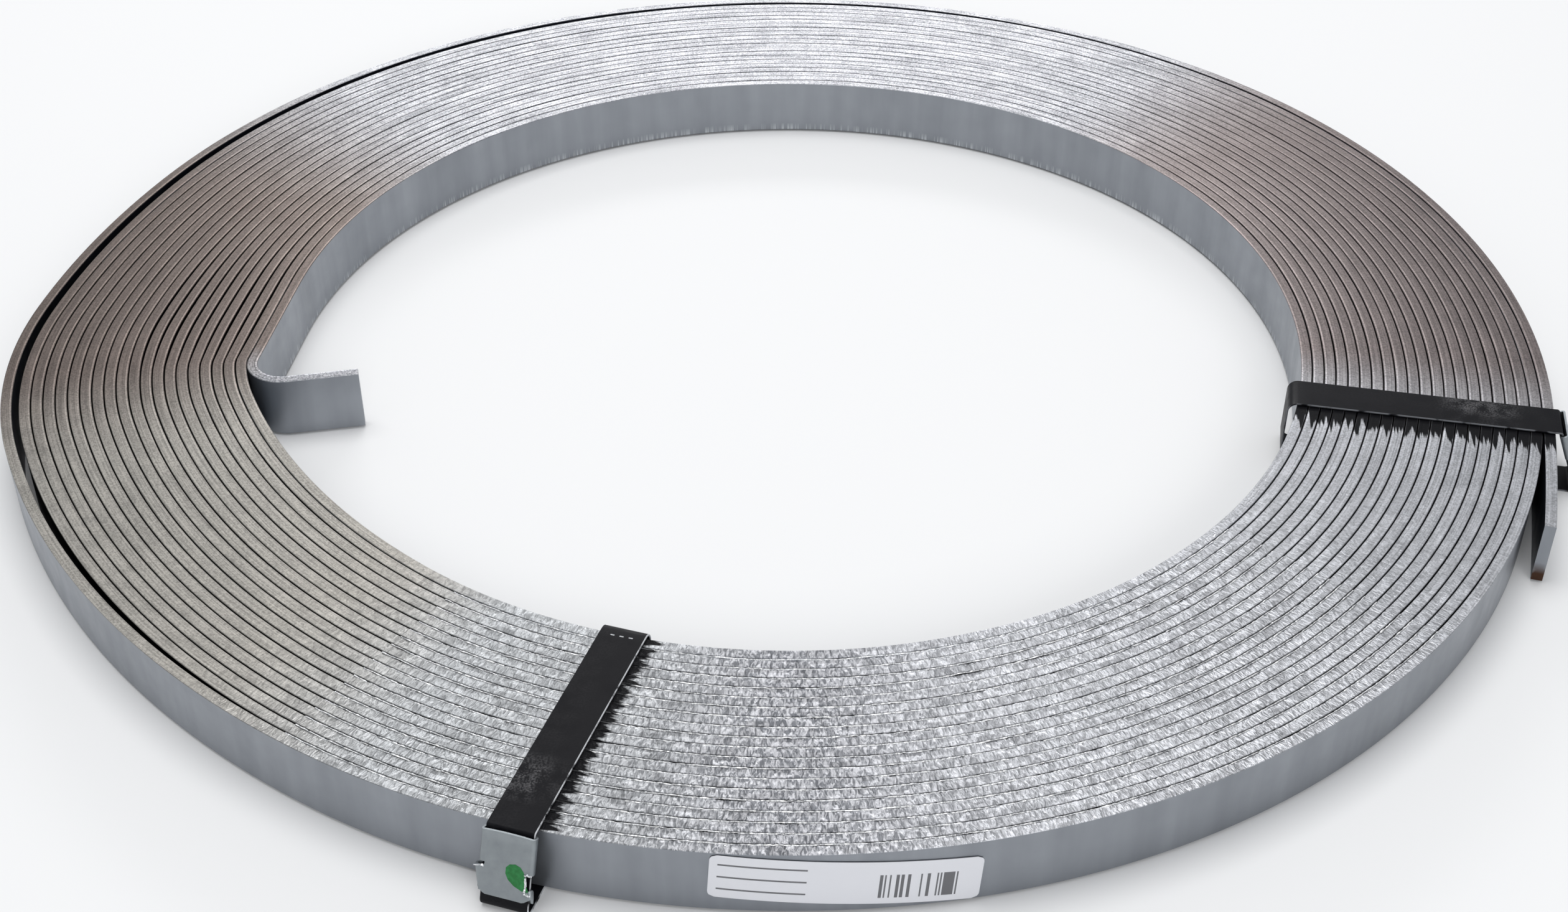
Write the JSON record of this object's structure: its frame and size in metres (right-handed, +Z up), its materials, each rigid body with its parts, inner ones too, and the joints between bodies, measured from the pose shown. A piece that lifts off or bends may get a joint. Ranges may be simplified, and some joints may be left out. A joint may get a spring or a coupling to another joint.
{
  "type": "steel strip coil",
  "caption": "Flat-lying coil of galvanised flat steel bar with an open bore, a bent inner tail and a sprung outer end, tied by steel straps with crimped seals.",
  "frame": {"origin": "on the coil's own vertical axis, at the level of the floor that it lies on, under the middle of its box", "axes": "+Z up along the coil's axis, -Y towards the side with the label, +X towards the sprung outer end"},
  "size_m": [0.6151, 0.6019, 0.0266],
  "materials": {
    "galvanised_strip": "hot-dip galvanised, rough on the edges",
    "black_strapping": "satin black paint with scuffs",
    "seal_steel": "galvanised sheet, satin",
    "label_paper": "coated white paper"
  },
  "bodies": {
    "root": {"strip_coil": "galvanised_strip", "front_strap": "black_strapping", "right_strap": "black_strapping", "front_seal": "seal_steel", "right_seal": "seal_steel", "paper_label": "label_paper"}
  },
  "joints": []
}
